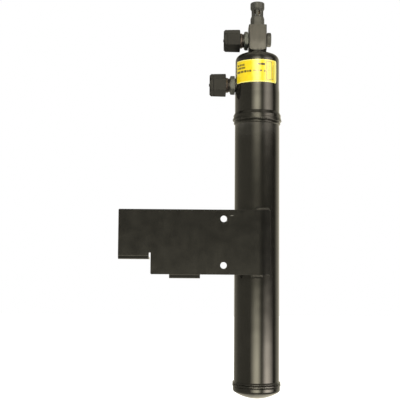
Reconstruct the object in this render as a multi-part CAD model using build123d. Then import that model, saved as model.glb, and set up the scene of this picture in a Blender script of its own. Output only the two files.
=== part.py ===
from build123d import *
import os
from math import acos, cos, degrees, radians, sin, sqrt, tan

# Receiver drier of a vehicle air conditioner: a welded steel bottle with a drawn top cup,
# a square outlet block, two capped hex ports, a spring-loaded relief valve and a folded
# mounting bracket. Sizes are in millimetres.
# The shape is drawn about the bottle's axis with heights measured up from the lowest point
# of the bottom head. It is written out in the bracket's frame: the origin is midway between
# the two bolt holes on the bracket's front face, +Z runs up the bottle and +Y away from the
# face that bolts to the vehicle.

# Bottle: tube and its two lap joints
tube_d = 63.5
tube_length = 385.5
shell_wall = 2.0
lap_gap = 0.1
lap_length = 7.5

# Bottom head
head_overhang = 1.35
head_height = 16.6
head_knuckle = 5.0
head_crown = 70.0
swage_length = 6.0
swage_taper = 3.0
tube_foot_rise = 1.0

# Top cup, heights measured from its belled lower edge
bell_length = 7.5
bell_taper = 7.0
cup_step_height = 44.0
cup_step_taper = 3.0
cup_step_in = 0.45
cup_bend = 4.0
cup_shoulder = 10.0
cup_cone_angle = 21.5
cup_land_d = 30.0
cup_height = 99.4

# Girth welds, with the shares of leg, wall and crest at which their outlines turn
upper_weld_crest = 1.4
upper_weld_overlap = 3.2
upper_weld_leg = 5.2
upper_weld_hip_out = 0.7
upper_weld_hip_up = 0.35
upper_weld_crest_up = 0.15
lower_weld_crest = 0.9
lower_weld_leg = 7.9
lower_weld_toe = 0.9
first_pass_up = 0.24
groove_up = 0.47
groove_share = 0.35
second_pass_up = 0.68
second_pass_share = 0.5
toe_up = 0.9

# Outlet block
block_width = 25.4
block_height = 38.1
block_chamfer = 1.0
block_foot_d = 27.0
block_foot_angle = 40.0
block_standoff = 0.9
block_spigot_d = 18.0
block_spigot_length = 5.0
spigot_gap = 0.1
block_weld_setback = 0.7
block_weld_dish = 0.35
outlet_height = 16.6
plug_height = 18.4
block_passage_d = 10.0

# Port fittings, 7/8 inch thread
port_hex = 23.8
port_thread_d = 22.2
port_relief_d = 19.6
port_relief_length = 2.6
port_thread_length = 15.0
port_nose_d = 17.0
port_nose_length = 3.0
port_bore_d = 12.7
port_collar_d = 18.8
port_collar_length = 1.0
port_shank_d = 16.0
port_shank_length = 6.3
outlet_hex_length = 5.5
inlet_hex_length = 7.0
port_turn = -2.0
hex_chamfer_angle = 30.0
hex_end_share = 0.97

# Inlet port on the cup
inlet_height = 52.0
inlet_weld_d = 20.4
inlet_weld_width = 0.9
inlet_shank_reach = 2.0

# Thread caps
cap_hex = 28.6
outlet_cap_turn = -2.0
inlet_cap_turn = -6.0
cap_draft = 1.0
cap_length = 23.3
cap_end_wall = 3.2
cap_end_chamfer = 2.4
cap_gap = 0.1
cap_nub_d = 4.0
cap_nub_height = 0.9
cap_start = 5.8

# Plug
plug_hex = 18.0
plug_hex_length = 6.0
plug_standoff = 0.85
plug_shank_d = 12.0
plug_shank_length = 7.0
plug_turn = 25.0
plug_seal_wire = 1.74
seal_room = 1.08
seal_gap = 0.05

# Relief valve
valve_hex = 17.5
valve_hex_height = 10.4
valve_shoulder_height = 4.0
valve_cage_d = 17.0
valve_cage_height = 8.0
valve_flare_height = 3.1
valve_head_d = 20.2
valve_head_height = 8.8
valve_head_round = 1.8
valve_edge_round = 0.8
valve_slots = 8
valve_slot_width = 2.7
valve_slot_turn = 16.0
valve_bore_d = 12.2
valve_shank_d = 14.0
valve_shank_length = 9.0
valve_seat_height = 7.0
valve_orifice_d = 5.0
valve_seal_wire = 1.6

# Relief valve's inner pieces
poppet_gap = 0.08
poppet_height = 4.0
poppet_stem_d = 6.0
poppet_travel = 3.0
poppet_stop_gap = 0.05
poppet_notches = 4
poppet_notch = 3.2
poppet_notch_depth = 0.8
poppet_seat_d = 8.6
poppet_seat_height = 1.4
poppet_seat_proud = 0.3
adjuster_sunk = 1.0
adjuster_height = 6.0
adjuster_socket = 5.0
adjuster_socket_depth = 3.0
valve_wire_d = 1.2
valve_coils = 4

# Bracket, measured from the point midway between its two bolt holes
sheet = 3.0
bend_inside = 2.4
bolt_spacing = 64.0
bolt_hole_d = 9.0
bolt_height = 216.6
bolt_to_axis = 47.8
plate_height = 89.5
plate_reach = 145.2
foot_drop = 24.2
foot_width = 42.4
foot_depth = 28.0
relief_slot_width = 2.5
relief_slot_rise = 3.6
slot_round_share = 0.45
tab_offset = 32.2
tab_width = 42.5
tab_depth = 22.0
wrap_angle = 30.0
wrap_gap = 0.05
plate_corner = 1.5
flange_corner = 3.0

# Bracket welds
stitch_leg = 4.5
stitch_cover = 0.9
stitch_bulge_out = 0.22
stitch_bulge_along = 0.62
upper_stitch_start = -8.0
upper_stitch_end = 29.0
lower_stitch_start = -20.0
lower_stitch_end = 13.0

# Label
label_film = 0.15
label_adhesive = 0.05
label_height = 32.0
label_rise = 51.2
label_left = 70.5
label_right = 54.5
label_corner = 3.0

# Inner pieces of the bottle
pickup_d = 12.0
pickup_wall = 1.0
pickup_seat_depth = 8.0
pickup_foot = 9.0
strainer_d = 18.0
strainer_height = 9.0
strainer_wall = 0.8
strainer_windows = 6
strainer_window_width = 5.4
strainer_window_height = 4.5
strainer_drop = 3.0
plate_sheet = 1.2
plate_gap = 0.15
plate_holes = 10
plate_hole_d = 4.0
plate_hole_ring = 40.0
pad_thickness = 6.0
bed_freeboard = 34.0
bed_wire_d = 2.2
bed_spring_d = 42.0
bed_coils = 3

# Worked out from the sizes above
tube_r = tube_d / 2
head_r = tube_r + head_overhang
swage_r = head_r - shell_wall - lap_gap
bell_r = tube_r + lap_gap + shell_wall
cup_top_r = tube_r - cup_step_in
cup_land_r = cup_land_d / 2
knuckle_height = head_crown - sqrt((head_crown - head_knuckle) ** 2 - (head_r - head_knuckle) ** 2)
tube_foot = knuckle_height + tube_foot_rise
swage_top = tube_foot + swage_length
ledge_top = swage_top + swage_taper
tube_top = tube_foot + tube_length
bed_height = tube_length - bed_freeboard
bell_edge = tube_top - lap_length
cup_step = bell_edge + cup_step_height
cup_land = bell_edge + cup_height
cup_corner = cup_land - (cup_top_r - cup_land_r) * tan(radians(cup_cone_angle))
block_foot = cup_land + block_standoff
block_top = block_foot + block_height
outlet_level = block_foot + outlet_height
plug_level = block_foot + plug_height
inlet_level = bell_edge + inlet_height
thread_r = port_thread_d / 2
axis_depth = sheet + wrap_gap + tube_r
plate_top = bolt_height + plate_height / 2
plate_bottom = bolt_height - plate_height / 2
bend_outside = bend_inside + sheet

PLACE = Pos(bolt_to_axis, axis_depth, -bolt_height)


def turned(points, radii=None):
    """Solid of revolution about Z from closed (radius, height) points, corners optionally rounded."""
    if radii is None:
        outline = Polyline(*points, close=True)
    else:
        outline = FilletPolyline(*points, radius=radii, close=True)
    return revolve(Plane.XZ * make_face(outline), Axis.Z)


def ring(outer_d, inner_d, low, high):
    """Plain ring about Z."""
    return turned([(inner_d / 2, low), (outer_d / 2, low), (outer_d / 2, high), (inner_d / 2, high)])


def rod(diameter, low, high):
    """Plain round bar about Z."""
    return Pos(0, 0, low) * Cylinder(diameter / 2, high - low, align=(Align.CENTER, Align.CENTER, Align.MIN))


def hex_bar(across_flats, low, high, turn=0.0):
    """Hexagonal bar about Z with a corner on +X before it is turned."""
    outline = RegularPolygon(across_flats / 2, 6, major_radius=False)
    return Rot(0, 0, turn) * Pos(0, 0, low) * extrude(outline, high - low)


def chamfered_hex(across_flats, low, high, turn, low_end, high_end):
    """Hexagonal bar whose corners are turned down at the chosen ends, as on a nut."""
    corner_r = across_flats / sqrt(3)
    flat_r = across_flats / 2 * hex_end_share
    drop = (corner_r - flat_r) * tan(radians(hex_chamfer_angle))
    low_points = [(flat_r, low), (corner_r, low + drop)] if low_end else [(corner_r, low)]
    high_points = [(corner_r, high - drop), (flat_r, high)] if high_end else [(corner_r, high)]
    envelope = turned([(0, low)] + low_points + high_points + [(0, high)])
    return hex_bar(across_flats, low, high, turn) & envelope


def inset(points, distance):
    """Open outline moved inwards, towards the axis side, by one wall."""
    moved = []
    normals = []
    for start, end in zip(points, points[1:]):
        run = (end[0] - start[0], end[1] - start[1])
        length = sqrt(run[0] ** 2 + run[1] ** 2)
        normals.append((-run[1] / length, run[0] / length))
    for index, point in enumerate(points):
        before = normals[max(index - 1, 0)]
        after = normals[min(index, len(normals) - 1)]
        share = distance / (1 + before[0] * after[0] + before[1] * after[1])
        moved.append((point[0] + (before[0] + after[0]) * share, point[1] + (before[1] + after[1]) * share))
    return moved


def cup_form(wall):
    """Filled solid of the top cup, wall being how far its surface lies inside the cup's own."""
    outline = [
        (bell_r, bell_edge),
        (bell_r, bell_edge + bell_length),
        (tube_r, bell_edge + bell_length + bell_taper),
        (tube_r, cup_step),
        (cup_top_r, cup_step + cup_step_taper),
        (cup_top_r, cup_corner),
        (cup_land_r, cup_land),
        (0, cup_land),
    ]
    outward = cup_bend - wall
    inward = cup_bend + wall
    radii = [0, outward, inward, outward, inward, cup_shoulder - wall, outward, 0, 0]
    return turned(inset(outline, wall) + [(0, bell_edge)], radii)


def upper_shell():
    shell = cup_form(0) - cup_form(shell_wall)
    shell -= rod(block_spigot_d + 2 * spigot_gap, cup_corner, cup_land + shell_wall)
    shell -= to_inlet(rod(port_shank_d + 2 * spigot_gap, -cup_top_r, cup_top_r))
    return shell


def lower_shell():
    inner = tube_r - shell_wall
    swage_inner = swage_r - shell_wall
    return turned([
        (swage_r, tube_foot),
        (swage_r, swage_top),
        (tube_r, ledge_top),
        (tube_r, tube_top),
        (inner, tube_top),
        (inner, ledge_top),
        (swage_inner, swage_top),
        (swage_inner, tube_foot),
    ])


def head_face(wall):
    """Half section of the bottom head's form, wall being how far it lies inside the surface."""
    crown = head_crown - wall
    knuckle = head_knuckle - wall
    side = head_r - wall
    lean = degrees(acos((head_crown - knuckle_height) / (head_crown - head_knuckle)))
    crown_arc = CenterArc((0, head_crown), crown, -90, lean)
    knuckle_arc = CenterArc((head_r - head_knuckle, knuckle_height), knuckle, lean - 90, 90 - lean)
    side_line = Line((side, knuckle_height), (side, head_height))
    top_line = Line((side, head_height), (0, head_height))
    axis_line = Line((0, head_height), (0, wall))
    return make_face([crown_arc, knuckle_arc, side_line, top_line, axis_line])


def bottom_head():
    outer = revolve(Plane.XZ * head_face(0), Axis.Z)
    inner = revolve(Plane.XZ * head_face(shell_wall), Axis.Z)
    return outer - inner


def bead(surface_points, root_points):
    """Ring of weld metal: a smooth outer surface closed by straight lines at its root."""
    outline = [Spline(*surface_points), Polyline(surface_points[-1], *root_points, surface_points[0])]
    return revolve(Plane.XZ * make_face(outline), Axis.Z)


def upper_girth_weld():
    toe = bell_edge - upper_weld_leg
    crest_r = bell_r + upper_weld_crest
    surface = [
        (tube_r, toe),
        (tube_r + shell_wall * upper_weld_hip_out, toe + upper_weld_leg * upper_weld_hip_up),
        (crest_r, bell_edge + upper_weld_overlap * upper_weld_crest_up),
        (bell_r, bell_edge + upper_weld_overlap),
    ]
    root = [(bell_r, bell_edge), (tube_r, bell_edge)]
    return bead(surface, root)


def lower_girth_weld():
    """Two passes laid one above the other from the head's edge to the tube."""
    crest_r = head_r + lower_weld_crest
    groove_r = head_r + lower_weld_crest * groove_share
    surface = [
        (head_r, head_height),
        (crest_r, head_height + lower_weld_leg * first_pass_up),
        (groove_r, head_height + lower_weld_leg * groove_up),
        (groove_r + lower_weld_crest * second_pass_share, head_height + lower_weld_leg * second_pass_up),
        (tube_r + lower_weld_toe, head_height + lower_weld_leg * toe_up),
        (tube_r, head_height + lower_weld_leg),
    ]
    root = [(tube_r, ledge_top), (swage_r, swage_top), (swage_r, head_height)]
    return bead(surface, root)


def to_outlet(shape):
    """Turns a piece drawn up +Z from a seat so that it stands out of the block's left face."""
    return Pos(-block_width / 2, 0, outlet_level) * Rot(0, -90, 0) * shape


def to_inlet(shape):
    """The same for the cup's left side."""
    return Pos(-cup_top_r, 0, inlet_level) * Rot(0, -90, 0) * shape


def to_plug(shape):
    """The same for the block's right face."""
    return Pos(block_width / 2, 0, plug_level) * Rot(0, 90, 0) * shape


def outlet_block():
    body = Pos(0, 0, block_foot) * Box(
        block_width, block_width, block_height, align=(Align.CENTER, Align.CENTER, Align.MIN)
    )
    body = chamfer(body.edges().filter_by(Axis.Z), block_chamfer)
    reach = block_width - block_foot_d / 2
    body &= turned([
        (0, block_foot),
        (block_foot_d / 2, block_foot),
        (block_width, block_foot + reach * tan(radians(block_foot_angle))),
        (block_width, block_top),
        (0, block_top),
    ])
    body += rod(block_spigot_d, block_foot - block_spigot_length, block_foot)
    tube_seat = block_foot - block_spigot_length + pickup_seat_depth
    valve_floor = block_top - valve_shank_length
    body -= rod(pickup_d, block_foot - block_spigot_length, tube_seat)
    body -= rod(block_passage_d, tube_seat, valve_floor)
    body -= rod(valve_shank_d, valve_floor, block_top)
    body -= rod(valve_shank_d + 2 * seal_room * valve_seal_wire, block_top - valve_seal_wire, block_top)
    body -= to_outlet(rod(port_shank_d, -port_shank_length, 0))
    body -= to_outlet(rod(block_passage_d, -block_width / 2, 0))
    body -= to_plug(rod(plug_shank_d, -plug_shank_length, 0))
    body -= to_plug(rod(plug_shank_d + 2 * seal_room * plug_seal_wire, plug_standoff - plug_seal_wire, 0))
    return body


def block_weld():
    """Concave braze ring that fills the gap between the cup's land and the block."""
    root_r = block_spigot_d / 2
    outer_r = cup_land_r
    crest_r = block_foot_d / 2 - block_weld_setback
    outline = [
        Line((root_r, cup_land), (outer_r, cup_land)),
        ThreePointArc(
            (outer_r, cup_land),
            ((outer_r + crest_r) / 2, cup_land + block_standoff * block_weld_dish),
            (crest_r, block_foot),
        ),
        Line((crest_r, block_foot), (root_r, block_foot)),
        Line((root_r, block_foot), (root_r, cup_land)),
    ]
    return revolve(Plane.XZ * make_face(outline), Axis.Z)


def port_fitting(hex_length, shank_length):
    """Hex fitting drawn up +Z from its seat: shank below, then collar, hex, thread and nose."""
    hex_low = port_collar_length
    hex_high = hex_low + hex_length
    thread_low = hex_high + port_relief_length
    thread_high = thread_low + port_thread_length
    nose_high = thread_high + port_nose_length
    lead = (thread_r - port_nose_d / 2) / 2
    stem = turned([
        (0, -shank_length),
        (port_shank_d / 2, -shank_length),
        (port_shank_d / 2, 0),
        (port_collar_d / 2, 0),
        (port_collar_d / 2, hex_low),
        (port_relief_d / 2, hex_low),
        (port_relief_d / 2, thread_low),
        (thread_r, thread_low + lead),
        (thread_r, thread_high - lead),
        (thread_r - lead, thread_high),
        (port_nose_d / 2, thread_high),
        (port_nose_d / 2, nose_high),
        (0, nose_high),
    ])
    fitting = stem + chamfered_hex(port_hex, hex_low, hex_high, port_turn, False, True)
    return fitting - rod(port_bore_d, -shank_length, nose_high)


def outlet_fitting():
    return to_outlet(port_fitting(outlet_hex_length, port_shank_length))


def inlet_fitting():
    """The shank is long enough to pass the cup's wall, and the collar is cut to the wall's curve."""
    fitting = to_inlet(port_fitting(inlet_hex_length, shell_wall + inlet_shank_reach))
    saddle = to_inlet(ring(port_collar_d, port_shank_d, -shell_wall, 0))
    shank_way = to_inlet(rod(port_shank_d, -cup_top_r, cup_top_r))
    return fitting + saddle - (cup_form(0) - shank_way)


def inlet_weld():
    outer_r = inlet_weld_d / 2
    inner_r = port_collar_d / 2
    bead_ring = turned([
        (inner_r, -shell_wall),
        (outer_r, -shell_wall),
        (outer_r, 0),
        (inner_r, inlet_weld_width),
    ])
    return to_inlet(bead_ring) - cup_form(0)


def thread_cap(start, turn):
    """Moulded hex cap drawn up +Z: open end below, closed and chamfered end above."""
    end = start + cap_length
    corner_r = cap_hex / sqrt(3)
    outer_hex = extrude(RegularPolygon(cap_hex / 2, 6, major_radius=False), cap_length, taper=cap_draft)
    body = Pos(0, 0, start) * Rot(0, 0, turn) * outer_hex
    envelope = turned([
        (0, start),
        (corner_r, start),
        (corner_r, end - cap_end_chamfer),
        (corner_r - cap_end_chamfer, end),
        (0, end),
    ])
    body &= envelope
    body += rod(cap_nub_d, end, end + cap_nub_height)
    return body - rod(port_thread_d + 2 * cap_gap, start, end - cap_end_wall)


def outlet_cap():
    hex_high = port_collar_length + outlet_hex_length
    return to_outlet(thread_cap(hex_high + cap_start, outlet_cap_turn))


def inlet_cap():
    hex_high = port_collar_length + inlet_hex_length
    return to_inlet(thread_cap(hex_high + cap_start, inlet_cap_turn))


def port_plug():
    shank = turned([
        (0, -plug_shank_length),
        (plug_shank_d / 2, -plug_shank_length),
        (plug_shank_d / 2, plug_standoff),
        (0, plug_standoff),
    ])
    head = chamfered_hex(plug_hex, plug_standoff, plug_standoff + plug_hex_length, plug_turn, False, True)
    return to_plug(shank + head)


def o_ring(inside_d, wire, low):
    """O-ring about Z that rests on the level low and just clears the bar inside it."""
    return Pos(0, 0, low + wire / 2) * Torus(inside_d / 2 + seal_gap + wire / 2, wire / 2)


def port_plug_seal():
    return to_plug(o_ring(plug_shank_d, plug_seal_wire, plug_standoff - plug_seal_wire))


def relief_valve_seal():
    return o_ring(valve_shank_d, valve_seal_wire, block_top - valve_seal_wire)


def relief_valve_body():
    """Hex, vented cage and head turned from one bar, bored from the top down to the seat."""
    hex_top = block_top + valve_hex_height
    shoulder_top = hex_top + valve_shoulder_height
    cage_top = shoulder_top + valve_cage_height
    head_low = cage_top + valve_flare_height
    head_top = head_low + valve_head_height
    corner_r = valve_hex / sqrt(3)
    cage_r = valve_cage_d / 2
    head_r_outer = valve_head_d / 2
    hex_form = turned([
        (0, block_top),
        (corner_r, block_top),
        (corner_r, hex_top),
        (cage_r, shoulder_top),
        (0, shoulder_top),
    ])
    body = hex_bar(valve_hex, block_top, shoulder_top) & hex_form
    body += turned(
        [
            (0, shoulder_top),
            (cage_r, shoulder_top),
            (cage_r, cage_top),
            (head_r_outer, head_low),
            (head_r_outer, head_top),
            (0, head_top),
        ],
        [0, 0, valve_edge_round, valve_edge_round, valve_head_round, 0],
    )
    body += rod(valve_shank_d, block_top - valve_shank_length, block_top)
    body -= rod(valve_bore_d, block_top + valve_seat_height, head_top)
    body -= rod(valve_orifice_d, block_top - valve_shank_length, head_top)
    slot = Box(
        valve_cage_d, valve_slot_width, valve_cage_height, align=(Align.MIN, Align.CENTER, Align.MIN)
    )
    for index in range(valve_slots):
        turn = valve_slot_turn - 90 + index * 360 / valve_slots
        body -= Rot(0, 0, turn) * Pos(0, 0, shoulder_top) * slot
    return body


def valve_levels():
    """Heights of the seat, the disc's top and the adjuster's underside."""
    seat = block_top + valve_seat_height
    head_top = block_top + valve_hex_height + valve_shoulder_height + valve_cage_height
    head_top += valve_flare_height + valve_head_height
    return seat, seat + poppet_seat_proud + poppet_height, head_top - adjuster_sunk - adjuster_height


def relief_poppet():
    """Guided disc with gas passages in its rim, a stem inside the spring and a seal pocket.

    The stem meets the adjuster at full lift.
    """
    seat, top, adjuster_low = valve_levels()
    low = seat + poppet_seat_proud
    radius = valve_bore_d / 2 - poppet_gap
    body = rod(2 * radius, low, top) + rod(poppet_stem_d, top, adjuster_low - poppet_travel - poppet_stop_gap)
    passage = Pos(radius, 0, low) * Box(
        2 * poppet_notch_depth, poppet_notch, poppet_height, align=(Align.CENTER, Align.CENTER, Align.MIN)
    )
    for index in range(poppet_notches):
        body -= Rot(0, 0, index * 360 / poppet_notches) * passage
    return body - rod(poppet_seat_d, low, seat + poppet_seat_height)


def relief_poppet_seat():
    seat, _, _ = valve_levels()
    return rod(poppet_seat_d, seat, seat + poppet_seat_height)


def relief_adjuster():
    _, _, low = valve_levels()
    body = rod(valve_bore_d, low, low + adjuster_height)
    return body - hex_bar(adjuster_socket, low + adjuster_height - adjuster_socket_depth, low + adjuster_height)


def coil_spring(coil_r, wire_d, low, high, coils):
    """Compression spring of round wire that just touches the levels low and high."""
    rise = high - low - wire_d
    path = Pos(0, 0, low + wire_d / 2) * Helix(rise / coils, rise, coil_r)
    section = Plane(origin=path @ 0, z_dir=path % 0) * Circle(wire_d / 2)
    return sweep(section, path)


def relief_spring():
    _, low, high = valve_levels()
    coil_r = (valve_bore_d + poppet_stem_d) / 4
    return coil_spring(coil_r, valve_wire_d, low, high, valve_coils)


def quarter_fold(left, right, start):
    """Quarter bend below the level start that turns the sheet from the plate to the back."""
    centre = (sheet + bend_inside, start)
    arc_out = CenterArc(centre, bend_outside, 180, 90)
    arc_in = CenterArc(centre, bend_inside, 180, 90)
    outline = [
        arc_out,
        Line(arc_out @ 1, arc_in @ 1),
        arc_in,
        Line(arc_in @ 0, arc_out @ 0),
    ]
    face = Plane.YZ * make_face(outline)
    return Pos(left, 0, 0) * extrude(face, right - left)


def flange(left, right, start, depth):
    """Bend and flat leg of one flange, its free corners rounded."""
    leg_low = start - bend_outside
    length = depth - sheet - bend_inside
    leg = Pos(left, sheet + bend_inside, leg_low) * Box(right - left, length, sheet, align=Align.MIN)
    free_edges = leg.edges().filter_by(Axis.Z).sort_by(Axis.Y)[-2:]
    return quarter_fold(left, right, start) + fillet(free_edges, flange_corner)


def mounting_bracket():
    """One sheet: flat plate with two bolt holes, a foot and a tab bent back, the end rolled on the tube."""
    top = plate_height / 2
    bottom = -plate_height / 2
    left = -plate_reach
    foot_right = left + foot_width
    slot_right = foot_right + relief_slot_width
    foot_start = -foot_drop + bend_outside
    slot_top = foot_start + relief_slot_rise
    tab_right = -tab_offset
    tab_left = tab_right - tab_width
    slot_round = relief_slot_width * slot_round_share
    outline = FilletPolyline(
        (left, top),
        (bolt_to_axis, top),
        (bolt_to_axis, bottom),
        (slot_right, bottom),
        (slot_right, slot_top),
        (foot_right, slot_top),
        (foot_right, foot_start),
        (left, foot_start),
        radius=[plate_corner, 0, 0, plate_corner, slot_round, slot_round, 0, 0],
        close=True,
    )
    plate = extrude(Plane.XZ * make_face(outline), -sheet)
    roll = Plane.XY * make_face([
        CenterArc((bolt_to_axis, axis_depth), axis_depth, -90, wrap_angle),
        Line(roll_point(axis_depth), roll_point(axis_depth - sheet)),
        CenterArc((bolt_to_axis, axis_depth), axis_depth - sheet, -90, wrap_angle),
        Line((bolt_to_axis, sheet), (bolt_to_axis, 0)),
    ])
    body = plate + Pos(0, 0, bottom) * extrude(roll, plate_height)
    body += flange(left, foot_right, foot_start, foot_depth)
    body += flange(tab_left, tab_right, bottom, tab_depth)
    for side in (-1, 1):
        hole = Cylinder(bolt_hole_d / 2, 2 * sheet, rotation=(90, 0, 0))
        body -= Pos(0, sheet / 2, side * bolt_spacing / 2) * hole
    return body


def roll_point(radius):
    """End of the rolled part of the sheet at one radius from the bottle's axis."""
    lean = radians(wrap_angle)
    return (bolt_to_axis + radius * sin(lean), axis_depth - radius * cos(lean))


def stitch_weld(edge, side, start, end):
    """Fillet bead along the plate's edge, from the sheet's outer face down to the tube."""
    inner = tube_r
    outer = tube_r + wrap_gap + sheet * stitch_cover
    bulge_r = (inner + outer) / 2 + stitch_leg * stitch_bulge_out
    bulge = (bulge_r, edge + side * stitch_leg * stitch_bulge_along)
    outline = [
        Line((inner, edge), (outer, edge)),
        ThreePointArc((outer, edge), bulge, (inner, edge + side * stitch_leg)),
        Line((inner, edge + side * stitch_leg), (inner, edge)),
    ]
    face = Rot(0, 0, start - 90) * (Plane.XZ * make_face(outline))
    return revolve(face, Axis.Z, end - start)


def bracket_upper_weld():
    return stitch_weld(plate_top, 1, upper_stitch_start, upper_stitch_end)


def bracket_lower_weld():
    return stitch_weld(plate_bottom, -1, lower_stitch_start, lower_stitch_end)


def label():
    low = bell_edge + label_rise
    inner_r = cup_top_r + label_adhesive
    section = Plane.XZ * make_face(Polyline(
        (inner_r, low),
        (inner_r + label_film, low),
        (inner_r + label_film, low + label_height),
        (inner_r, low + label_height),
        close=True,
    ))
    film = revolve(Rot(0, 0, -90 - label_left) * section, Axis.Z, label_left + label_right)
    for end, inward in ((-90 - label_left, 1), (label_right - 90, -1)):
        for level, up in ((low, 1), (low + label_height, -1)):
            film -= Rot(0, 0, end) * Pos(0, 0, level) * corner_waste(inward, up)
    return film


def corner_waste(inward, up):
    """What is cut off outside one rounded corner of the film, drawn on +X."""
    middle = label_corner / 2
    square = Pos(cup_top_r, inward * middle, up * middle) * Box(cup_top_r, label_corner, label_corner)
    round_end = Cylinder(label_corner, 2 * cup_top_r, rotation=(0, 90, 0))
    return square - Pos(cup_top_r, inward * label_corner, up * label_corner) * round_end


def pickup_tube():
    top = block_foot - block_spigot_length + pickup_seat_depth
    return ring(pickup_d, pickup_d - 2 * pickup_wall, pickup_foot, top)


def pickup_strainer():
    """Cup round the pickup tube's foot, with gauze windows in its side."""
    low = pickup_foot - strainer_wall - strainer_drop
    high = low + strainer_height
    side_r = strainer_d / 2
    body = rod(strainer_d, low, high) - rod(strainer_d - 2 * strainer_wall, low + strainer_wall, high - strainer_wall)
    body -= rod(pickup_d, pickup_foot, high)
    window = Pos(side_r, 0, (low + high) / 2) * Box(side_r, strainer_window_width, strainer_window_height)
    for index in range(strainer_windows):
        body -= Rot(0, 0, index * 360 / strainer_windows) * window
    return body


def perforated_plate(low):
    disc = ring(tube_d - 2 * shell_wall - 2 * plate_gap, pickup_d + 2 * plate_gap, low, low + plate_sheet)
    for index in range(plate_holes):
        hole = Pos(plate_hole_ring / 2, 0, 0) * rod(plate_hole_d, low - plate_sheet, low + 2 * plate_sheet)
        disc -= Rot(0, 0, index * 360 / plate_holes) * hole
    return disc


def bed_levels():
    """Undersides of the lower plate, lower pad, bed, upper pad and upper plate, and the plate's top."""
    levels = [ledge_top]
    for thickness in (plate_sheet, pad_thickness, bed_height, pad_thickness, plate_sheet):
        levels.append(levels[-1] + thickness)
    return levels


def lower_plate():
    return perforated_plate(bed_levels()[0])


def upper_plate():
    return perforated_plate(bed_levels()[4])


def packing(low, high):
    """Filling that reaches from the pickup tube to the bottle's wall."""
    return ring(tube_d - 2 * shell_wall - 2 * plate_gap, pickup_d + 2 * plate_gap, low, high)


def lower_pad():
    levels = bed_levels()
    return packing(levels[1], levels[2])


def desiccant_bed():
    levels = bed_levels()
    return packing(levels[2], levels[3])


def upper_pad():
    levels = bed_levels()
    return packing(levels[3], levels[4])


def bed_spring():
    """Stands on the upper plate and bears against the cone under the cup's shoulder."""
    coil_r = bed_spring_d / 2
    lean = radians(cup_cone_angle)
    cone_height = cup_land - (coil_r - cup_land_r) * tan(lean) - (shell_wall + bed_wire_d / 2) / cos(lean)
    return coil_spring(coil_r, bed_wire_d, bed_levels()[5], cone_height + bed_wire_d / 2, bed_coils)


TANK_PIECES = {
    "upper_shell": upper_shell,
    "lower_shell": lower_shell,
    "bottom_head": bottom_head,
    "upper_girth_weld": upper_girth_weld,
    "lower_girth_weld": lower_girth_weld,
    "outlet_block": outlet_block,
    "block_weld": block_weld,
    "outlet_fitting": outlet_fitting,
    "outlet_cap": outlet_cap,
    "inlet_fitting": inlet_fitting,
    "inlet_weld": inlet_weld,
    "inlet_cap": inlet_cap,
    "port_plug": port_plug,
    "port_plug_seal": port_plug_seal,
    "relief_valve_body": relief_valve_body,
    "relief_valve_seal": relief_valve_seal,
    "relief_poppet": relief_poppet,
    "relief_poppet_seat": relief_poppet_seat,
    "relief_spring": relief_spring,
    "relief_adjuster": relief_adjuster,
    "bracket_upper_weld": bracket_upper_weld,
    "bracket_lower_weld": bracket_lower_weld,
    "label": label,
    "pickup_tube": pickup_tube,
    "pickup_strainer": pickup_strainer,
    "lower_plate": lower_plate,
    "upper_plate": upper_plate,
    "lower_pad": lower_pad,
    "upper_pad": upper_pad,
    "desiccant_bed": desiccant_bed,
    "bed_spring": bed_spring,
}

os.makedirs("parts", exist_ok=True)
for name, build in TANK_PIECES.items():
    export_step(PLACE * build(), f"parts/{name}.step")
export_step(mounting_bracket(), "parts/mounting_bracket.step")
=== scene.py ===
from math import asin, cos, exp, log, pi, radians, sin, sqrt, tan

import bmesh
import bpy
from mathutils import Matrix, Vector, noise


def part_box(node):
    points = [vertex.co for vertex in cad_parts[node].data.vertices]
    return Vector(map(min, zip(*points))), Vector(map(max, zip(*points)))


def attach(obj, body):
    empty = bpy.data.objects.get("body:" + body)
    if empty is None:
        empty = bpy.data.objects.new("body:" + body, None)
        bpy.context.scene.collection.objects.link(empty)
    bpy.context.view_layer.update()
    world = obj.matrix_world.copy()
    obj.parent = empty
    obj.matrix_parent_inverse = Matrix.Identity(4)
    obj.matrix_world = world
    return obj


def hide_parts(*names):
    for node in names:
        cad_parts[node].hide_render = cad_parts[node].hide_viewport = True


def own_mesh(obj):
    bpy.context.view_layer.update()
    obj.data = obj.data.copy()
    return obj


# Looks of a receiver drier. Shapes are drawn in millimetres about the bottle's axis, heights
# measured up from its lowest point, and placed in the frame by the matrices below.

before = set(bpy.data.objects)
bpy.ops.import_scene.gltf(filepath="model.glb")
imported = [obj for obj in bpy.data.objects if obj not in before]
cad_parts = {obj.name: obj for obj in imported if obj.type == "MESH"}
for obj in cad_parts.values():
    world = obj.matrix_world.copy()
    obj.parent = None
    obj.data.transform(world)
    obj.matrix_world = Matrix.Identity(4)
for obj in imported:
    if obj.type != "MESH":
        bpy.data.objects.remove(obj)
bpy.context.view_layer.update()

MM = 0.001


def low(node):
    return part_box(node)[0] / MM


def high(node):
    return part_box(node)[1] / MM


def half_width(node):
    return (high(node).x - low(node).x) / 2


def foot_of(node):
    return low(node).z - base


def top_of(node):
    return high(node).z - base


def middle_of(node):
    return (low(node).z + high(node).z) / 2 - base


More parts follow.
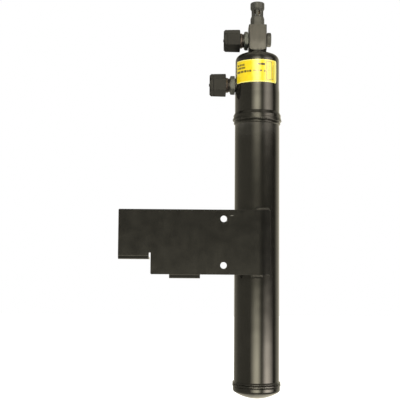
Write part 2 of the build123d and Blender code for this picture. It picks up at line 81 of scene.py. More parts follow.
# Sizes read from the frame
axis = (low("lower_shell") + high("lower_shell")) / 2
base = low("bottom_head").z
tube_r = half_width("lower_shell")
head_r = half_width("bottom_head")
bell_r = half_width("upper_shell")
tube_foot = foot_of("lower_shell")
bell_edge = foot_of("upper_shell")
cup_land = top_of("upper_shell")
head_top = top_of("bottom_head")
block_foot = top_of("block_weld")
block_top = top_of("outlet_block")
block_height = block_top - block_foot
block_width = 2 * half_width("outlet_block")
valve_top = top_of("relief_valve_body")
valve_low = foot_of("relief_valve_body")
label_low = foot_of("label")
label_high = top_of("label")
plate_top = top_of("mounting_bracket")
plate_left = low("mounting_bracket").x
outlet_level = middle_of("outlet_cap")
inlet_level = middle_of("inlet_cap")
plug_level = middle_of("port_plug")

# Sizes that the frame's boxes don't give, as in the part's source
wall = 2.0
head_knuckle = 4.0
head_crown = 57.0
swage_rise = 9.0
bell_length = 7.5
bell_taper = 4.2
cup_step_height = 44.0
cup_step_taper = 4.5
cup_top_r = 31.3
cup_bend = 14.0
cup_shoulder = 10.0
cup_cone_angle = 21.5
cup_land_r = 15.0
block_chamfer = 1.0
block_foot_r = 13.5
block_foot_angle = 40.0
spigot_r = 9.0
spigot_length = 5.0
port_hex = 23.8
port_hex_length = {"outlet": 5.5, "inlet": 7.0}
port_shank = {"outlet": 6.3, "inlet": 4.0}
port_turn = -2.0
relief_r = 9.8
relief_length = 2.6
thread_r = 11.1
thread_length = 15.0
nose_r = 8.5
nose_length = 3.0
port_bore_r = 6.35
collar_r = 9.4
collar_length = 1.0
port_shank_r = 8.0
thread_pitch = 1.81
thread_depth = 0.62
cap_hex = 28.6
cap_turn = {"outlet": -2.0, "inlet": -6.0}
cap_draft = 1.0
cap_length = 23.3
cap_start = 5.8
cap_wall = 3.2
cap_chamfer = 2.4
cap_mould_line = 5.2
cap_nub_r = 2.0
cap_nub_height = 0.9
plug_hex = 18.0
plug_hex_length = 6.0
plug_standoff = 0.85
plug_shank_r = 6.0
plug_shank_length = 7.0
plug_turn = 25.0
valve_hex = 17.5
valve_hex_height = 10.4
valve_shoulder = 4.0
valve_cage_r = 8.5
valve_cage_height = 8.0
valve_flare = 3.1
valve_head_r = 10.1
valve_bore_r = 6.1
valve_orifice_r = 2.5
valve_shank_r = 7.0
valve_seat = 7.0
valve_slots = 8
valve_slot_width = 2.7
valve_slot_turn = 16.0
spring_wire_r = 0.6
spring_coils = 4
sheet = 3.0
bend_inside = 2.4
bend_outside = bend_inside + sheet
bend_arc = pi / 2 * bend_outside
plate_height = 89.5
plate_bottom = -plate_height / 2
wrap_angle = 30.0
wrap_length = radians(wrap_angle) * axis.y
foot_start = -24.2 + bend_outside
foot_right = plate_left + 42.4
foot_depth = 28.0
slot_width = 2.5
slot_right = foot_right + slot_width
slot_top = foot_start + 3.6
tab_right = -32.2
tab_left = tab_right - 42.5
tab_depth = 22.0
bolt_spacing = 64.0
bolt_hole_r = 4.5
label_film = 0.2
label_left = 70.5
label_right = 54.5

ROW = Matrix.Scale(MM, 4)
PLACE = ROW @ Matrix.Translation((axis.x, axis.y, base))
TO_OUTLET = PLACE @ Matrix.Translation((-block_width / 2, 0, outlet_level)) @ Matrix.Rotation(-pi / 2, 4, "Y")
TO_INLET = PLACE @ Matrix.Translation((-cup_top_r, 0, inlet_level)) @ Matrix.Rotation(-pi / 2, 4, "Y")
TO_PLUG = PLACE @ Matrix.Translation((block_width / 2, 0, plug_level)) @ Matrix.Rotation(pi / 2, 4, "Y")

# Degrees from a corner of a hexagon and of the block, close together beside it
HEX_SPREAD = (0.35, 0.8, 1.4, 2.2, 3.4, 5.2, 8.0, 12.0, 17.0, 23.0)
BLOCK_SPREAD = (0.3, 1.0, 1.8, 2.2, 2.5, 2.8, 3.2, 3.8, 5.0, 7.0, 10.0, 15.0, 21.0, 28.0, 36.0)


def even_angles(count):
    return [2 * pi * index / count for index in range(count)]


def close_angles(sides, turn=0.0, spread=HEX_SPREAD):
    """Angles round a bar with flats, close together at its corners."""
    pitch = 360.0 / sides
    angles = []
    for side in range(sides):
        corner = turn + side * pitch
        angles += [corner - step for step in reversed(spread)] + [corner] + [corner + step for step in spread]
        angles.append(corner + pitch / 2)
    return [radians(angle) for angle in angles]


def at(radius, angle, height, matrix=PLACE):
    return matrix @ Vector((radius * cos(angle), radius * sin(angle), height))


def rounded(points, radii, steps=7):
    """Open outline of (radius, height) pairs with its inner corners rounded."""
    path = [tuple(points[0])]
    for before, corner, after, radius in zip(points, points[1:], points[2:], radii):
        corner = Vector(corner)
        back = (Vector(before) - corner).normalized()
        on = (Vector(after) - corner).normalized()
        if radius <= 0 or abs(back.cross(on)) < 1e-6:
            path.append(tuple(corner))
            continue
        half = back.angle(on) / 2
        centre = corner + (back + on).normalized() * radius / sin(half)
        start = corner + back * radius / tan(half) - centre
        turn = start.angle_signed(corner + on * radius / tan(half) - centre)
        for step in range(steps + 1):
            spoke = start.copy()
            spoke.rotate(Matrix.Rotation(-turn * step / steps, 2))
            path.append(tuple(centre + spoke))
    path.append(tuple(points[-1]))
    return path


def through(points, steps=3):
    """Smooth open outline that passes through some (radius, height) pairs."""
    ends = [points[0]] + list(points) + [points[-1]]
    path = [points[0]]
    for p0, p1, p2, p3 in zip(ends, ends[1:], ends[2:], ends[3:]):
        for step in range(1, steps + 1):
            t = step / steps
            spot = []
            for a, b, c, d in zip(p0, p1, p2, p3):
                bend = a - 2.5 * b + 2 * c - d / 2
                twist = 1.5 * (b - c) + (d - a) / 2
                spot.append(b + (c - a) * t / 2 + bend * t * t + twist * t ** 3)
            path.append(tuple(spot))
    return path


def soft_min(values, softness):
    """Least of some lengths, rounded off where two of them meet."""
    least = min(values)
    return least - softness * log(sum(exp((least - value) / softness) for value in values))


def flats(sides, width, turn=0.0, softness=0.1, extra=None):
    """Section of a bar that keeps a radius, but no further out than its flats."""
    pitch = 2 * pi / sides
    half = width / 2

    def section(angle, radius, height):
        off = (angle - radians(turn)) % pitch - pitch / 2
        lengths = [half / cos(off), half / max(cos(abs(off) - pitch), 0.05), radius]
        if extra:
            lengths.append(extra(angle))
        return soft_min(lengths, softness), height

    return section


def hex_end(width, end):
    """A hex bar's corner and flat radius, and its chamfer's length and outline."""
    corner = width / sqrt(3)
    flat = width / 2 * 0.97
    drop = (corner - flat) * tan(radians(30))
    chamfer = [(corner + 0.1 - (corner - flat) * step / 8, end - drop + drop * step / 8) for step in range(9)]
    return corner, flat, drop, chamfer


def lathe(outline, matrix=PLACE, angles=None, section=None):
    """Rings of points round the local Z axis; section may move each point by its angle."""
    rings = []
    for radius, height in outline:
        ring = []
        for angle in angles or even_angles(192):
            r, z = section(angle, radius, height) if section else (radius, height)
            ring.append(at(r, angle, z, matrix))
        rings.append(ring)
    return rings


def skin(rings, loop=False):
    """Points and faces of a closed surface through rings; loop joins the last ring to the first."""
    count = len(rings[0])
    points = [point for ring in rings for point in ring]
    pairs = [(index, index + 1) for index in range(len(rings) - 1)]
    faces = []
    if loop:
        pairs.append((len(rings) - 1, 0))
    else:
        faces.append(tuple(range(count)))
        faces.append(tuple(range(len(points) - count, len(points))))
    for first, second in pairs:
        for index in range(count):
            after = (index + 1) % count
            a, b = first * count, second * count
            faces.append((a + index, a + after, b + after, b + index))
    return points, faces


def new_object(name, data):
    made = bpy.data.objects.new(name, data)
    bpy.context.scene.collection.objects.link(made)
    return made


def piece(name, surfaces, finish, node=None, body="housing", sharp=40.0):
    """Object made of closed surfaces that stands for one CAD node."""
    points = []
    faces = []
    for surface_points, surface_faces in surfaces:
        start = len(points)
        points += surface_points
        faces += [tuple(start + index for index in face) for face in surface_faces]
    mesh = bpy.data.meshes.new(name)
    mesh.from_pydata(points, [], faces)
    work = bmesh.new()
    work.from_mesh(mesh)
    bmesh.ops.recalc_face_normals(work, faces=work.faces)
    work.to_mesh(mesh)
    work.free()
    mesh.shade_smooth()
    mesh.set_sharp_from_angle(angle=radians(sharp))
    made = new_object(name, mesh)
    mesh.materials.append(MATERIALS[finish])
    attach(made, body)
    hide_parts(node or name)
    return made


def turned(name, outline, finish, matrix=PLACE, angles=None, section=None, loop=True, sharp=40.0):
    """Piece turned from one outline; loop joins the outline's ends."""
    return piece(name, [skin(lathe(outline, matrix, angles, section), loop)], finish, sharp=sharp)


# Material nodes


def fill(node, inputs):
    """Links sockets to a node's inputs, and sets numbers and colours on them."""
    for key, value in inputs.items():
        socket = node.inputs[key]
        if isinstance(value, bpy.types.NodeSocket):
            node.id_data.links.new(value, socket)
        else:
            socket.default_value = (*value, 1.0) if socket.type == "RGBA" else value


def add(tree, kind, inputs=None, **settings):
    """Node with its attributes and, by index or name, its inputs."""
    made = tree.nodes.new("ShaderNode" + kind)
    for key, value in settings.items():
        setattr(made, key, value)
    fill(made, inputs or {})
    return made


def new_material(name):
    material = bpy.data.materials.new(name)
    material.use_nodes = True
    tree = material.node_tree
    return material, tree, tree.nodes["Principled BSDF"]


def coordinates(tree, kind="Object"):
    """The row frame's coordinates in metres, or a direction from the world's middle."""
    return add(tree, "TexCoord").outputs[kind]


def result(kind, *values, **settings):
    """First output of a node whose inputs take these values in order."""
    return add(values[0].id_data, kind, dict(enumerate(values)), **settings).outputs[0]


def split(vector):
    return add(vector.id_data, "SeparateXYZ", {0: vector}).outputs


def times(value, factor):
    return maths("MULTIPLY", value, factor)


def speckle(tree, scale, detail=4.0, stretch=(1, 1, 1)):
    """Noise of about scale features per metre."""
    spot = add(tree, "Mapping", {"Vector": coordinates(tree), "Scale": stretch}).outputs[0]
    return add(tree, "TexNoise", {"Scale": scale, "Detail": detail, "Vector": spot}).outputs[0]


def between(value, from_low=0.3, from_high=0.7, to_low=0.0, to_high=1.0):
    """Value mapped from one range to another and held there."""
    return result("MapRange", value, from_low, from_high, to_low, to_high)


def maths(operation, *values):
    return result("Math", *values, operation=operation)


def chosen(share, first, second):
    """Number from first to second by share."""
    return add(share.id_data, "Mix", {0: share, 2: first, 3: second}).outputs[0]


def blended(share, first, second):
    """Colour from first to second by share."""
    return add(share.id_data, "Mix", {0: share, 6: first, 7: second}, data_type="RGBA").outputs[2]


def bumps(*layers):
    """Normal of (height, strength, distance) layers, the distance in metres."""
    normal = None
    for height, strength, distance in layers:
        inputs = {"Height": height, "Strength": strength, "Distance": distance}
        if normal:
            inputs["Normal"] = normal
        normal = add(height.id_data, "Bump", inputs).outputs[0]
    return normal


def pointiness(tree, *limits):
    """Grows on the mesh's outward edges and shrinks in its hollows."""
    return between(add(tree, "NewGeometry").outputs["Pointiness"], *limits)


# Materials


def paint(name, dark, pale, roughness, edge_wear_and_highlight, gloss, edge_rub_and_highlight=(0.16, 0.15, 0.13)):
    """Gloss black paint over steel, with faint orange peel, dust and rubbed edges; where the edge colour is
    pale, as on the bracket, the rubbed edges are also a painted highlight.
    """
    material, tree, shader = new_material(name)
    patches = speckle(tree, 45.0)
    colour = blended(between(patches, 0.35, 0.65), dark, pale)
    dust = between(speckle(tree, 900.0, 6.0), 0.68, 0.78, 0.0, 0.5)
    colour = blended(dust, colour, (0.09, 0.085, 0.07))
    edge_mark = between(patches, 0.3, 0.6, 0.1, edge_wear_and_highlight)
    # Rubbed paint on the edges; on the bracket, with its pale edge colour, also a painted highlight.
    rubbed = times(pointiness(tree, 0.52, 0.62), edge_mark)
    orange_peel = (speckle(tree, 30.0, 1.0), 0.12, 0.002)
    grit = (speckle(tree, 1100.0, 2.0), 0.05, 0.0002)
    fill(shader, {
        "Base Color": blended(rubbed, colour, edge_rub_and_highlight),
        "Roughness": between(speckle(tree, 70.0, 5.0), 0.3, 0.7, roughness * 0.8, roughness * 1.3),
        "Specular IOR Level": gloss,
        "Specular Tint": (1.0, 0.99, 0.95),
        "Normal": bumps(orange_peel, grit),
    })
    return material


def metal(name, dark, pale, roughness, bare, grain=(1, 1, 1), tarnish=None, groove_shade=None, shade_above=None):
    """Plated or machined steel with grain and dull patches; painted shade darkens its hollows when given a
    groove colour, and all of it above a given height in the frame.
    """
    material, tree, shader = new_material(name)
    colour = blended(between(speckle(tree, 120.0, 5.0)), dark, pale)
    if tarnish:
        spots = between(speckle(tree, 420.0, 6.0), 0.55, 0.72, 0.0, 0.7)
        colour = blended(spots, colour, tarnish)
    bright = times(pointiness(tree, 0.53, 0.66), 0.5)
    colour = blended(bright, colour, tuple(min(1.0, value * 1.5) for value in pale))
    # Painted shade: the hollows between the thread's crests are darkened.
    if groove_shade:
        colour = blended(pointiness(tree, 0.4, 0.49, 1.0, 0.0), colour, groove_shade)
    # Painted shade: everything above this height is darkened, as on the plug's top.
    if shade_above:
        shaded_top = between(split(coordinates(tree))["Z"], shade_above, shade_above + 0.0025, 0.0, 0.75)
        colour = blended(shaded_top, colour, (0.02, 0.018, 0.014))
    lines = speckle(tree, 900.0, 3.0, grain)
    fill(shader, {
        "Base Color": colour,
        "Metallic": bare,
        "Roughness": between(lines, 0.3, 0.7, roughness * 0.8, roughness * 1.25),
        "Normal": bumps((lines, 0.12, 0.0002)),
    })
    return material


def block_steel():
    """Satin bar steel with painted shade darkening its upper part, its outward edges and its faces towards
    their upright edges, and paint crept up from its foot.
    """
    material, tree, shader = new_material("block_steel")
    grain = speckle(tree, 700.0, 4.0, (1, 1, 0.12))
    patches = between(speckle(tree, 150.0, 5.0))
    colour = blended(patches, (0.1, 0.095, 0.081), (0.135, 0.128, 0.11))
    colour = blended(between(grain, 0.45, 0.75, 0.0, 0.35), colour, (0.07, 0.065, 0.054))
    spot = split(coordinates(tree))
    foot = (base + block_foot) * MM
    drift = between(speckle(tree, 300.0, 3.0), 0.3, 0.7, -0.0018, 0.0018)
    level = maths("ADD", spot["Z"], drift)
    # Painted shade: the block darkens from 9 mm above its foot upward.
    shade_high = between(level, foot + 0.009, foot + 0.017, 0.0, 0.6)
    colour = blended(shade_high, colour, (0.035, 0.032, 0.026))
    # Painted shade on the block's outward edges.
    colour = blended(pointiness(tree, 0.52, 0.6), colour, (0.04, 0.037, 0.03))
    # Painted shade: each face darkens towards its upright edges, and the block again towards its top.
    from_axis = []
    for side, middle in (("X", axis.x), ("Y", axis.y)):
        from_axis.append(maths("ABSOLUTE", maths("SUBTRACT", spot[side], middle * MM)))
    half = block_width / 2 * MM
    beside = between(maths("MINIMUM", *from_axis), half * 0.6, half, 0.0, 0.9)
    upper = between(level, foot + 0.018, foot + 0.034, 0.0, 0.6)
    for share in (beside, upper):
        colour = blended(share, colour, (0.05, 0.047, 0.039))
    painted = between(level, foot + 0.0012, foot + 0.003, 1.0, 0.0)
    fill(shader, {
        "Base Color": blended(painted, colour, (0.02, 0.019, 0.015)),
        "Metallic": between(painted, 0.0, 1.0, 0.38, 0.0),
        "Roughness": between(grain, 0.3, 0.7, 0.36, 0.48),
        "Normal": bumps((grain, 0.15, 0.0002)),
    })
    return material


def plastic(name, dark, pale, roughness, gloss):
    """Moulded plastic: fine spark texture, scuffs and paler rubbed edges."""
    material, tree, shader = new_material(name)
    scuffs = speckle(tree, 220.0, 6.0, (0.3, 1, 1))
    colour = blended(between(scuffs, 0.4, 0.7), dark, pale)
    rubbed = times(pointiness(tree, 0.52, 0.6), 0.35)
    fill(shader, {
        "Base Color": blended(rubbed, colour, (0.13, 0.125, 0.1)),
        "Roughness": between(scuffs, 0.3, 0.7, roughness * 0.85, roughness * 1.25),
        "Specular IOR Level": gloss,
        "Specular Tint": (1.0, 0.99, 0.97),
        "Normal": bumps((speckle(tree, 2600.0, 2.0), 0.08, 0.0001)),
    })
    return material


def soft_fill(name, dark, pale, scale):
    """Felt or packed beads."""
    material, tree, shader = new_material(name)
    grain = speckle(tree, scale, 5.0)
    fill(shader, {
        "Base Color": blended(between(grain), dark, pale),
        "Roughness": 0.9,
        "Normal": bumps((grain, 0.6, 0.0008)),
    })
    return material


INK = (0.05, 0.04, 0.01)
GREY = (0.15, 0.13, 0.045)
PALE = (0.96, 0.93, 0.3)
YELLOW = (0.93, 0.74, 0.02)
# Colour, then left, right, bottom, top in millimetres on the film and strength
LABEL_FIELDS = (
    # The thin pale strips are the film's border; the two wider pale bands at its right end are partly border
    # and partly a painted highlight.
    (PALE, (0.0, 1.0, 0.0, 32.0, 0.7), (65.6, 69.0, 0.0, 32.0, 0.85), (62.0, 65.6, 1.2, 30.9, 0.4)),
    (PALE, (0.0, 69.0, 0.0, 1.2, 0.7), (0.0, 69.0, 30.9, 32.0, 0.6)),
    (INK, (2.4, 7.2, 23.7, 26.7, 0.85), (8.0, 12.4, 23.8, 26.9, 0.8), (13.2, 17.6, 23.8, 26.8, 0.8)),
    (INK, (2.4, 5.4, 19.5, 22.2, 0.75), (6.4, 11.2, 19.6, 22.5, 0.85), (11.8, 19.0, 19.7, 22.4, 0.8)),
    (INK, (2.0, 9.6, 14.0, 17.1, 0.9), (10.4, 16.0, 14.0, 17.0, 0.85), (17.0, 21.0, 14.0, 17.1, 0.9)),
    (INK, (21.8, 24.4, 14.1, 17.0, 0.85), (25.2, 28.4, 14.2, 17.1, 0.9)),
    (INK, (37.0, 43.0, 24.0, 26.4, 0.85), (42.4, 47.9, 23.6, 26.6, 1.0)),
    (INK, (31.0, 36.4, 14.8, 16.8, 0.6), (37.2, 39.6, 14.8, 16.8, 0.6)),
    (INK, (40.2, 43.6, 14.7, 17.0, 0.9), (46.4, 48.6, 14.0, 16.8, 0.8)),
    (GREY, (49.9, 58.6, 3.4, 29.6, 0.9)),
    (YELLOW, (50.8, 57.7, 4.3, 28.7, 1.0)),
    (GREY, (53.2, 53.9, 16.0, 28.8, 0.7), (53.2, 56.6, 16.0, 16.7, 0.7), (53.2, 56.6, 21.6, 22.3, 0.55)),
    (INK, (60.8, 61.8, 4.4, 25.0, 0.85), (59.0, 61.8, 3.9, 4.9, 0.75)),
)


def label_print():
    """Yellow film with generic fields: short bars, a mark and an empty pale frame."""
    material, tree, shader = new_material("label_print")
    spot = split(add(tree, "UVMap", uv_map="millimetres").outputs["UV"])
    colour = blended(between(speckle(tree, 160.0)), (0.84, 0.61, 0.006), (0.9, 0.67, 0.012))
    blur = 0.25
    fields = [(ink, *field) for ink, *row in LABEL_FIELDS for field in row]
    for ink, left, right, bottom, top, strength in fields:
        share = None
        for way, edge, before in (("X", left, 0.0), ("X", right, 1.0), ("Y", bottom, 0.0), ("Y", top, 1.0)):
            side = between(spot[way], edge - blur, edge + blur, before, 1.0 - before)
            share = times(share, side) if share else side
        colour = blended(times(share, strength), colour, ink)
    fill(shader, {
        "Base Color": colour,
        "Roughness": between(speckle(tree, 300.0), 0.3, 0.7, 0.11, 0.16),
        "Specular IOR Level": 0.85,
        "Normal": bumps((speckle(tree, 60.0, 2.0), 0.1, 0.0008)),
    })
    return material


TANK_BLACK = ((0.0095, 0.009, 0.007), (0.0125, 0.0115, 0.009))
BRACKET_BLACK = ((0.0075, 0.0072, 0.006), (0.0105, 0.01, 0.0082))
FITTING_STEEL = ((0.05, 0.053, 0.044), (0.078, 0.082, 0.069))
THREAD_STEEL = ((0.09, 0.068, 0.053), (0.22, 0.18, 0.145))
# Height above which the plug's top gets painted shade
plug_shade_above = (base + plug_level + 3.0) * MM

MATERIALS = {
    "paint": paint("tank_paint", *TANK_BLACK, 0.1, 0.5, 0.5),
    # The bracket's pale edge colour paints a highlight along its edges on top of the rubbed paint.
    "bracket_paint": paint("bracket_paint", *BRACKET_BLACK, 0.15, 1.0, 0.2, edge_rub_and_highlight=(0.34, 0.32, 0.27)),
    "weld": paint("weld_paint", *TANK_BLACK, 0.1, 0.4, 0.5),
    "block": block_steel(),
    "fitting": metal("fitting_steel", *FITTING_STEEL, 0.36, 0.25, tarnish=(0.035, 0.03, 0.022)),
    "thread": metal(
        "thread_steel", *THREAD_STEEL, 0.3, 0.5, tarnish=(0.02, 0.016, 0.012), groove_shade=(0.004, 0.003, 0.0025)
    ),
    "plug": metal("plug_steel", (0.082, 0.08, 0.068), (0.125, 0.121, 0.104), 0.34, 0.4, shade_above=plug_shade_above),
    "valve": metal("valve_steel", (0.04, 0.039, 0.032), (0.07, 0.068, 0.057), 0.42, 0.2, grain=(1, 1, 6)),
    "cap": plastic("cap_plastic", (0.011, 0.0106, 0.0088), (0.018, 0.0168, 0.014), 0.42, 0.22),
    "label": label_print(),
    "rubber": plastic("seal_rubber", (0.015, 0.015, 0.015), (0.025, 0.025, 0.025), 0.6, 0.4),
    # Brass darker than clean brass, a painted shade so the poppet stays dark behind the cage's slots.
    "brass": metal("poppet_brass", (0.2, 0.13, 0.05), (0.32, 0.22, 0.1), 0.35, 0.9),
    "spring": metal("spring_steel", (0.3, 0.3, 0.3), (0.45, 0.45, 0.45), 0.3, 1.0),
    "inner": metal("inner_steel", (0.4, 0.4, 0.39), (0.55, 0.55, 0.54), 0.4, 1.0),
    "felt": soft_fill("felt", (0.6, 0.59, 0.54), (0.8, 0.79, 0.74), 1500.0),
    "beads": soft_fill("desiccant_beads", (0.5, 0.46, 0.4), (0.8, 0.76, 0.68), 500.0),
}
HIDDEN_NODES = {
    "rubber": ("port_plug_seal", "relief_valve_seal", "relief_poppet_seat"),
    "brass": ("relief_poppet",),
    "valve": ("relief_adjuster",),
    "inner": ("pickup_tube", "pickup_strainer", "lower_plate", "upper_plate"),
    "felt": ("lower_pad", "upper_pad"),
    "beads": ("desiccant_bed",),
    "spring": ("bed_spring",),
}


# Bottle


def ripple(angle, radius, pitch, depth, across):
    """Crescent ripples of a weld run, deepest in the middle of the bead."""
    along = radius * angle / pitch - 0.9 * across * across
    return depth * (1 - across * across) * sin(2 * pi * along)


def wander(angle, turns, seed):
    """Slow uneven value between about -1 and 1 that closes round the bottle."""
    return 2.0 * noise.noise(Vector((cos(angle) * turns, sin(angle) * turns, seed)))


def held(value):
    return max(-1.0, min(1.0, value))


def upper_shell():
    corners = [
        (bell_r, bell_edge),
        (bell_r, bell_edge + bell_length),
        (tube_r, bell_edge + bell_length + bell_taper),
        (tube_r, bell_edge + cup_step_height - cup_step_taper),
        (cup_top_r, bell_edge + cup_step_height + cup_step_taper),
        (cup_top_r, cup_land - (cup_top_r - cup_land_r) * tan(radians(cup_cone_angle))),
        (cup_land_r, cup_land),
        (spigot_r, cup_land),
    ]
    outer = rounded(corners, [3.0, 3.0, cup_bend, cup_bend, cup_shoulder, 3.0])
    inner = [(radius - wall, height - wall * 0.4) for radius, height in reversed(outer)]
    inner = [(max(radius, spigot_r), max(height, bell_edge)) for radius, height in inner]
    rim = [(bell_r, bell_edge + 0.35 * step) for step in range(20)]
    marks_end = bell_edge + 6.8
    mark_pitch = 2.2
    mark_depth = 0.016
    bell_lean = 0.025

    def section(angle, radius, height):
        """Faint drawing marks round the bell."""
        if radius < bell_r - 0.05 or height > marks_end:
            return radius, height
        mark = sin(2 * pi * height / mark_pitch + 2.2 * wander(angle, 2.0, 4.0))
        lean = bell_lean * (height - bell_edge)
        return radius - lean - mark_depth * (1 - mark) * min(1.0, (marks_end - height) / 1.5), height

    turned("upper_shell", rim + outer[1:] + inner, "paint", section=section)


def lower_shell():
    inner = tube_r - wall
    swage = head_r - wall - 0.1
    swage_inner = swage - wall
    ledge = tube_foot + swage_rise
    lap = bell_edge + 7
    outline = [(swage, tube_foot), (swage, ledge - 3), (tube_r, ledge), (tube_r, ledge + 0.6)]
    outline += [(tube_r, ledge + (lap - ledge) * share / 12) for share in range(1, 13)]
    outline += [(inner, lap), (inner, ledge), (swage_inner, ledge - 3), (swage_inner, tube_foot)]
    turned("lower_shell", outline, "paint")


def bottom_head():
    dish = head_crown - head_knuckle
    reach = head_r - head_knuckle
    rise = head_crown - sqrt(dish ** 2 - reach ** 2)
    lean = asin(reach / dish)
    outer = [(0.02, 0.0)]
    for step in range(1, 13):
        angle = lean * step / 12
        outer.append((head_crown * sin(angle), head_crown - head_crown * cos(angle)))
    for step in range(1, 11):
        angle = lean + (pi / 2 - lean) * step / 10
        outer.append((reach + head_knuckle * sin(angle), rise - head_knuckle * cos(angle)))
    inner = [(max(radius - wall, 0.02), height + wall) for radius, height in reversed(outer)]
    inner = [(radius, min(height, head_top)) for radius, height in inner]
    outer += [(head_r, rise + 0.3), (head_r, head_top - 0.75), (head_r, head_top - 0.5)]
    outer += [(head_r - 0.12, head_top - 0.2), (head_r - 0.45, head_top)]
    turned("bottom_head", outer + [(head_r - wall, head_top)] + inner, "paint", loop=False)


def upper_girth_weld():
    """Bead over the bell's edge and a lower ridge, wavering up and down as they go round."""
    on_tube = ((-0.1, -6.2), (0.2, -5.9), (1.0, -5.3), (1.45, -4.6), (1.4, -3.6), (1.0, -2.7), (0.7, -2.1))
    on_bell = ((-0.1, -1.5), (0.35, -0.8), (0.38, 0.3), (0.35, 1.4), (0.31, 2.4), (0.24, 3.1), (-0.25, 3.8))
    points = [(tube_r + out, bell_edge + up) for out, up in on_tube]
    points += [(bell_r + out, bell_edge + up) for out, up in on_bell]
    crest = bell_r + 1.4
    foot = bell_edge - 6.2
    span = 10.0
    front = radians(266)

    def section(angle, radius, height):
        if radius < tube_r - 0.2:
            return radius, height
        fade = max(sin(pi * (height - foot) / span), 0.0)
        drift = 0.5 - cos(angle) + sin(angle) + 0.5 * cos(2 * angle)
        drift = 0.85 * drift + 0.4 * wander(angle, 4.0, 8.0)
        drift += 1.35 * exp((cos(angle - front) - 1) / 0.2)
        lump = 0.6 * cos(angle) ** 2 * exp(-(((height - bell_edge) / 1.7) ** 2))
        swell = 0.16 * wander(angle, 2.6, 5.0) * fade
        lift = ripple(angle, bell_r, 2.4, 0.045, held((height - bell_edge) / 2.5))
        return min(radius + lump + swell + lift, crest), height + drift * (0.35 + 0.65 * fade)

    outline = through(points) + [(tube_r - 0.5, bell_edge + 2), (tube_r - 0.5, bell_edge - 4)]
    turned("upper_girth_weld", outline, "weld", angles=even_angles(720), section=section, sharp=75)


def lower_girth_weld():
    """Two passes laid one above the other."""
    first_pass = ((-0.9, -0.1), (-0.85, 0.45), (0.1, 0.9), (0.75, 1.3), (0.8, 2.1), (0.8, 3.0), (0.5, 3.5))
    second_pass = ((-0.45, 4.1), (0.4, 4.6), (0.68, 5.0), (0.7, 5.9), (0.45, 6.5), (-0.8, 7.1))
    points = [(head_r + out, head_top + up) for out, up in first_pass + second_pass]
    points += [(tube_r + 0.1, head_top + 7.6), (tube_r - 0.1, head_top + 7.9)]
    crest = head_r + 0.9
    tall = 7.9

    def section(angle, radius, height):
        if radius < tube_r - 0.3:
            return radius, height
        share = (height - head_top) / tall
        fade = max(sin(pi * share), 0.0)
        drift = 0.35 * wander(angle, 3.0, 1.0) + 0.4 * wander(angle, 9.0, 6.0)
        lift = ripple(angle, head_r, 2.2, 0.05, held((share - 0.28) / 0.24))
        lift += ripple(angle, head_r, 2.2, 0.05, held((share - 0.72) / 0.2))
        return min(radius + lift + 0.1 * wander(angle, 5.0, 2.0) * fade, crest), height + drift * fade

    outline = through(points) + [(tube_r - 0.6, head_top + 6.5), (tube_r - 0.6, head_top + 0.3)]
    turned("lower_girth_weld", outline, "weld", angles=even_angles(720), section=section, sharp=75)


# Block and ports


def outlet_block():
    corner = block_width / 2 * sqrt(2) - block_chamfer / sqrt(2)

    def corner_flat(angle):
        off = (angle - pi / 4) % (pi / 2)
        return corner / cos(min(off, pi / 2 - off))

    past_flats = 20.0
    slope = tan(radians(block_foot_angle))
    socket_r = valve_shank_r + 2.1
    floor = block_top - 1.6
    outline = [(spigot_r, block_foot - spigot_length), (spigot_r, block_foot), (block_foot_r - 0.6, block_foot)]
    outline += [(block_foot_r + 0.35 * step, block_foot + 0.1 + 0.35 * step * slope) for step in range(19)]
    outline += [(past_flats, block_foot + 6.2 + (block_height - 6.8) * step / 20) for step in range(1, 20)]
    outline += [(past_flats, block_top - 0.35), (17.1, block_top - 0.2), (12.6, block_top - 0.05)]
    outline += [(12.2, block_top), (socket_r, block_top), (socket_r, floor), (valve_shank_r, floor)]
    angles = close_angles(4, 45.0, BLOCK_SPREAD)
    section = flats(4, block_width, 45.0, 0.08, corner_flat)
    turned("outlet_block", outline, "block", angles=angles, section=section, loop=False, sharp=50)


def block_weld():
    outline = [(spigot_r, cup_land), (cup_land_r, cup_land), (13.6, cup_land + 0.35)]
    outline += [(12.8, block_foot), (spigot_r, block_foot)]
    turned("block_weld", outline, "paint")


def port_fitting(port, matrix):
    """Shank, collar, hex, relief groove, helical thread and nose, bored through."""
    shank = port_shank[port]
    hex_low = collar_length
    hex_high = hex_low + port_hex_length[port]
    thread_low = hex_high + relief_length
    thread_high = thread_low + thread_length
    nose = thread_high + nose_length
    corner, flat, drop, chamfer = hex_end(port_hex, hex_high)
    side = port_hex_length[port] - drop
    outline = [(port_bore_r, -shank), (port_shank_r, -shank), (port_shank_r, 0), (collar_r, 0)]
    outline += [(collar_r, hex_low), (flat, hex_low), (corner + 1, hex_low + 0.25)]
    outline += [(corner + 1, hex_low + side * step / 4) for step in range(1, 4)] + chamfer
    outline += [(relief_r, hex_high), (relief_r, thread_low), (relief_r + 0.05, thread_low + 0.01)]
    outline += [(thread_r, thread_low + thread_length * step / 110) for step in range(111)]
    outline += [(nose_r, thread_high), (nose_r, nose), (port_bore_r, nose)]
    hexagon = flats(6, port_hex, port_turn)
    lead_length = 0.9

    def section(angle, radius, height):
        if thread_low <= height <= thread_high and radius > relief_r + 0.1:
            phase = (height / thread_pitch + angle / (2 * pi)) % 1
            lead = min(1.0, (height - thread_low) / lead_length, (thread_high - height) / lead_length)
            crest = relief_r + (thread_r - relief_r) * max(lead, 0) + 0.02
            return min(radius - thread_depth * (1 - abs(2 * phase - 1)), crest), height
        return hexagon(angle, radius, height)

    angles = close_angles(6, port_turn)
    made = turned(port + "_fitting", outline, "fitting", matrix, angles, section, sharp=50)
    made.data.materials.append(MATERIALS["thread"])
    back = matrix.inverted()
    for face in made.data.polygons:
        if (back @ face.center).z > hex_high + 0.02:
            face.material_index = 1


